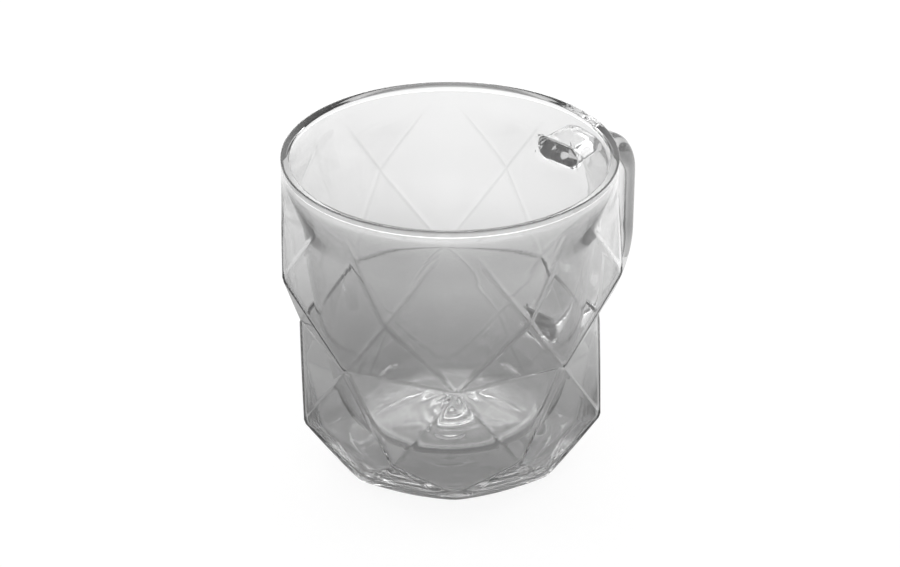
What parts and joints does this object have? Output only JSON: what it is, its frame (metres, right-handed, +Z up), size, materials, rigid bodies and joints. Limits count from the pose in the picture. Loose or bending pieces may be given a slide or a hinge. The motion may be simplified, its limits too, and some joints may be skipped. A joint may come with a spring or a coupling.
{
  "type": "thermal mug",
  "caption": "Double-walled smoke-glass mug: faceted outer shell and smooth inner cup fused at a rounded rim, with a flat glass handle welded to the shell.",
  "frame": {"origin": "middle of the footprint, handle included, on the plane that the mug stands on", "axes": "+Z up out of the mouth; +X from the mug's axis towards the handle; the mug is the same on both sides of the XZ plane"},
  "size_m": [0.1154, 0.089, 0.089],
  "materials": {
    "shell_glass": "clear smoke grey, mould blown, soft facet edges",
    "cup_glass": "clear smoke grey, smooth",
    "rim_glass": "clear smoke grey, fire polished",
    "handle_glass": "clear smoke grey, fire polished",
    "seal_glass": "clear smoke grey, drawn off in the flame"
  },
  "bodies": {
    "root": {"outer_shell": "shell_glass", "inner_cup": "cup_glass", "rim_bead": "rim_glass", "handle_bar": "handle_glass", "upper_handle_weld": "handle_glass", "lower_handle_weld": "handle_glass", "base_seal": "seal_glass"}
  },
  "joints": []
}
